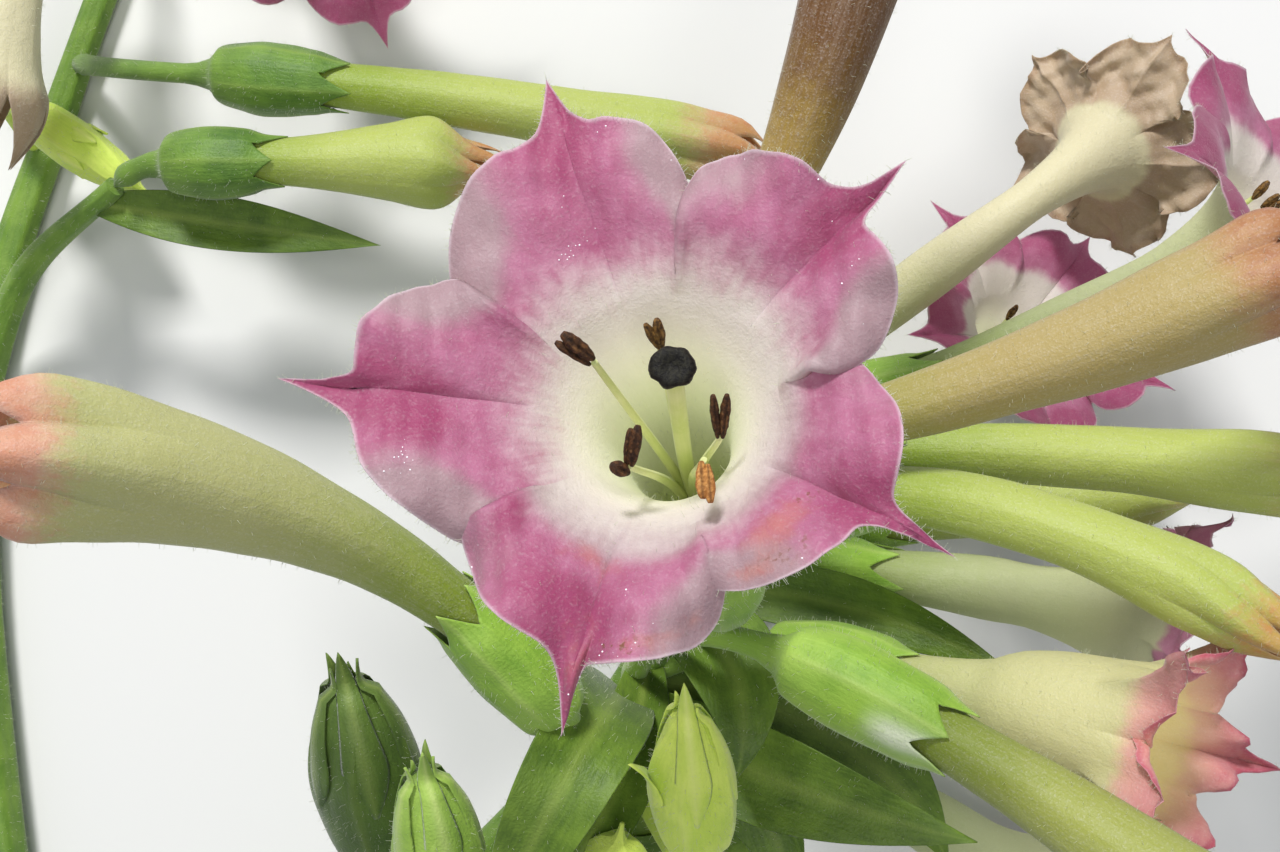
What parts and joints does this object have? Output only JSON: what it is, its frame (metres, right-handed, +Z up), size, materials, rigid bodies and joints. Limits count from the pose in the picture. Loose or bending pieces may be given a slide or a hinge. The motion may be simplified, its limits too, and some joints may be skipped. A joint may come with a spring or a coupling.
{
  "type": "cut tobacco flower branch",
  "caption": "Cut flowering branch of a tobacco plant, lying down, with open, closing and wilted trumpet flowers, buds, capsules and bracts on sticky green stems.",
  "frame": {"origin": "on the surface it lies on, under the middle of its box", "axes": "+Z up, the way the main flower faces; +Y from the cut end of the stem to its tip; +X to the side that the cluster leans to"},
  "size_m": [0.1512, 0.1937, 0.1124],
  "materials": {
    "stem": "matte",
    "calyx": "matte",
    "bract": "matte",
    "petal_pink": "matte",
    "petal_pale": "matte",
    "petal_tan": "matte",
    "petal_brown": "matte",
    "anther": "matte",
    "stigma": "matte",
    "filament": "matte",
    "hair": "matte"
  },
  "bodies": {
    "root": {"main_stem": "stem", "cluster_branch": "stem", "back_twig": "stem", "left_twig": "stem", "main_calyx": "calyx", "main_corolla": "petal_pink", "left_calyx": "calyx", "left_corolla": "petal_pale", "low_right_calyx": "calyx", "low_right_corolla": "petal_pale", "curled_calyx": "calyx", "curled_corolla": "petal_pink", "edge_on_calyx": "calyx", "edge_on_corolla": "petal_pink", "long_bud_calyx": "calyx", "long_bud_corolla": "petal_pale", "pale_right_calyx": "calyx", "pale_right_corolla": "petal_pale", "young_calyx": "calyx", "young_corolla": "petal_pale", "tan_calyx": "calyx", "tan_corolla": "petal_tan", "high_right_calyx": "calyx", "high_right_corolla": "petal_pink", "brown_calyx": "calyx", "brown_corolla": "petal_brown", "behind_calyx": "calyx", "behind_corolla": "petal_pink", "back_low_calyx": "calyx", "back_low_corolla": "petal_pink", "top_left_calyx": "calyx", "top_left_corolla": "petal_pale", "left_bud_calyx": "calyx", "left_bud_corolla": "petal_pale", "withered_left_calyx": "calyx", "withered_left_corolla": "petal_brown", "top_calyx": "calyx", "top_corolla": "petal_pink", "front_bud": "calyx", "capsule_left": "calyx", "withered_bud": "calyx", "low_bud": "calyx", "pale_bud": "calyx", "bract_front": "bract", "bract_right": "bract", "bract_left": "bract", "dried_calyx": "calyx", "dried_corolla": "petal_tan"}
  },
  "joints": []
}
